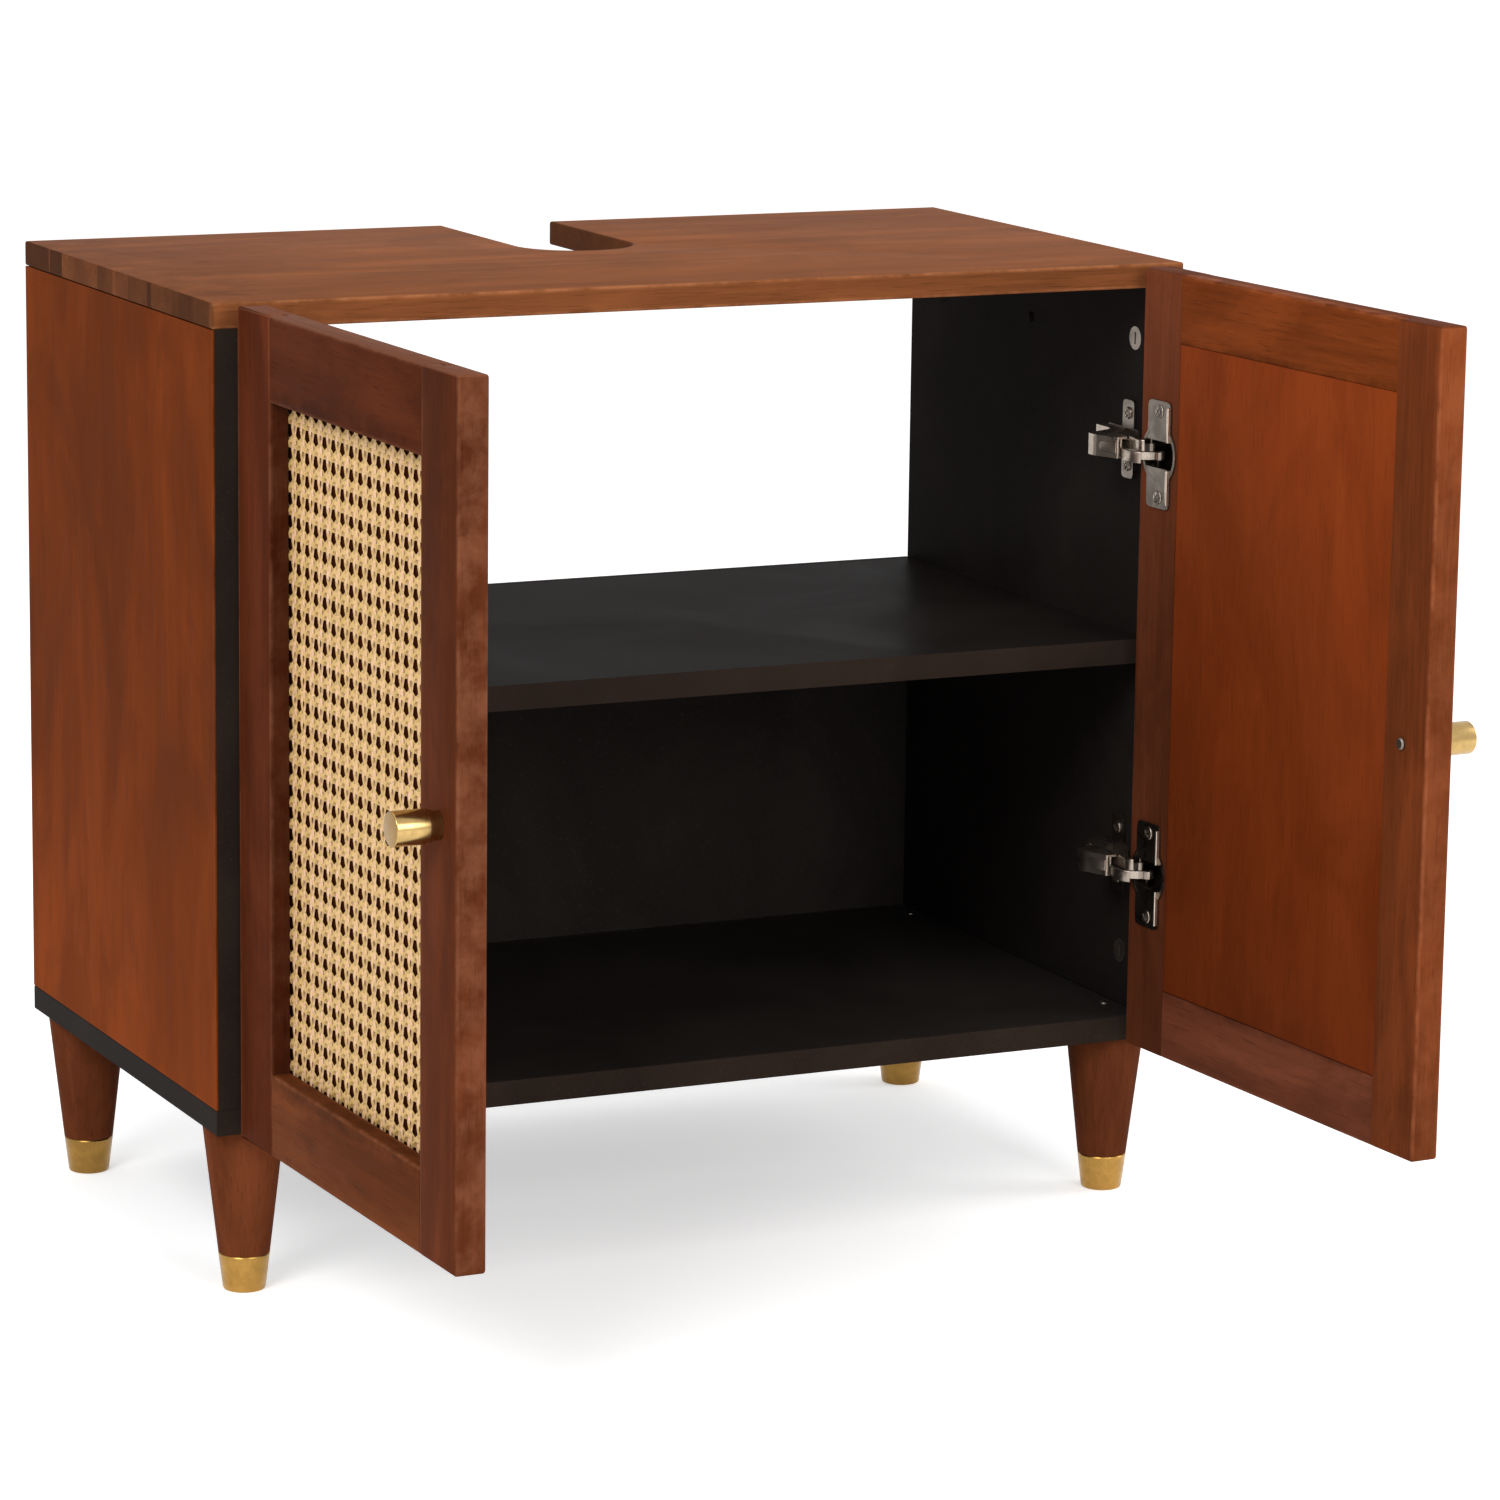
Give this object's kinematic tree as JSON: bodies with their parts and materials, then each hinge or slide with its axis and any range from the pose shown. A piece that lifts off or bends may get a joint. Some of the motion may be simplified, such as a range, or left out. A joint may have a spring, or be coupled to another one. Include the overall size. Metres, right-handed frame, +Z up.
{
  "type": "sink base cabinet",
  "caption": "Small floor-standing under-basin cabinet with a notched top, framed cane doors on concealed cup hinges, an inner shelf and tapered legs with brass ferrules.",
  "frame": {"origin": "middle of the bottom board's rear edge, on the plane of the wall", "axes": "+Z up, +Y to the wall, the doors open toward -Y, +X to the right seen from the front"},
  "size_m": [0.6601, 0.6467, 0.58],
  "materials": {
    "top_wood": "stained warm mid brown, grain along the width, satin",
    "side_wood": "stained orange brown, upright grain, satin",
    "frame_wood": "stained dark reddish brown, satin",
    "panel_wood": "stained orange brown veneer, satin",
    "black_board": "near-black melamine face, matt, fine texture",
    "cane": "woven rattan cane, natural, matt",
    "brass": "brushed, softly worn",
    "nickel": "nickel plated steel"
  },
  "bodies": {
    "carcass": {"top_board": "top_wood", "bottom_board": "black_board", "shelf": "black_board", "back_panel": "black_board", "left_side_panel": "black_board", "left_side_skin": "side_wood", "left_upper_front_cam": "nickel", "left_lower_front_cam": "nickel", "left_front_leg": "frame_wood", "left_front_ferrule": "brass", "left_upper_rear_cam": "nickel", "left_lower_rear_cam": "nickel", "left_rear_leg": "frame_wood", "left_rear_ferrule": "brass", "left_lower_hinge_plate": "nickel", "left_lower_hinge_arm": "nickel", "left_upper_hinge_plate": "nickel", "left_upper_hinge_arm": "nickel", "right_side_panel": "black_board", "right_side_skin": "side_wood", "right_upper_front_cam": "nickel", "right_lower_front_cam": "nickel", "right_front_leg": "frame_wood", "right_front_ferrule": "brass", "right_upper_rear_cam": "nickel", "right_lower_rear_cam": "nickel", "right_rear_leg": "frame_wood", "right_rear_ferrule": "brass", "right_lower_hinge_plate": "nickel", "right_lower_hinge_arm": "nickel", "right_upper_hinge_plate": "nickel", "right_upper_hinge_arm": "nickel"},
    "left_outer_links": {"left_lower_outer_link": "nickel", "left_upper_outer_link": "nickel"},
    "left_inner_links": {"left_lower_inner_link": "nickel", "left_upper_inner_link": "nickel"},
    "left_door": {"left_door_hinge_stile": "frame_wood", "left_door_free_stile": "frame_wood", "left_door_top_rail": "frame_wood", "left_door_bottom_rail": "frame_wood", "left_door_cane": "cane", "left_door_backing": "panel_wood", "left_knob": "brass", "left_knob_screw": "nickel", "left_lower_hinge_cup": "nickel", "left_upper_hinge_cup": "nickel"},
    "right_outer_links": {"right_lower_outer_link": "nickel", "right_upper_outer_link": "nickel"},
    "right_inner_links": {"right_lower_inner_link": "nickel", "right_upper_inner_link": "nickel"},
    "right_door": {"right_door_hinge_stile": "frame_wood", "right_door_free_stile": "frame_wood", "right_door_top_rail": "frame_wood", "right_door_bottom_rail": "frame_wood", "right_door_cane": "cane", "right_door_backing": "panel_wood", "right_knob": "brass", "right_knob_screw": "nickel", "right_lower_hinge_cup": "nickel", "right_upper_hinge_cup": "nickel"}
  },
  "joints": [
    {"name": "left_outer_link_turn", "type": "hinge", "parent": "carcass", "child": "left_outer_links", "pos_m": [-0.265, -0.308, 0.2315], "axis": [0, 0, -1], "range_deg": [-3.06, 29.86]},
    {"name": "left_door_swing", "type": "hinge", "parent": "left_outer_links", "child": "left_door", "pos_m": [-0.28218, -0.34781, 0.2315], "axis": [0, 0, -1], "range_deg": [-118.81, 12.02]},
    {"name": "left_inner_link_turn", "type": "hinge", "parent": "carcass", "child": "left_inner_links", "pos_m": [-0.2718, -0.327, 0.2315], "axis": [0, 0, -1], "range_deg": [-3.79, 36.98]},
    {"name": "right_outer_link_turn", "type": "hinge", "parent": "carcass", "child": "right_outer_links", "pos_m": [0.265, -0.308, 0.2315], "axis": [0, 0, 1], "range_deg": [-1.73, 31.2]},
    {"name": "right_door_swing", "type": "hinge", "parent": "right_outer_links", "child": "right_door", "pos_m": [0.28124, -0.3482, 0.2315], "axis": [0, 0, 1], "range_deg": [-124.16, 6.67]},
    {"name": "right_inner_link_turn", "type": "hinge", "parent": "carcass", "child": "right_inner_links", "pos_m": [0.2718, -0.327, 0.2315], "axis": [0, 0, 1], "range_deg": [-2.12, 38.65]}
  ],
  "couplings": [
    {"joint": "left_outer_link_turn", "follows": "left_door_swing", "ratio": -0.25094},
    {"joint": "left_inner_link_turn", "follows": "left_door_swing", "ratio": -0.31086},
    {"joint": "right_outer_link_turn", "follows": "right_door_swing", "ratio": -0.25094},
    {"joint": "right_inner_link_turn", "follows": "right_door_swing", "ratio": -0.31086}
  ]
}
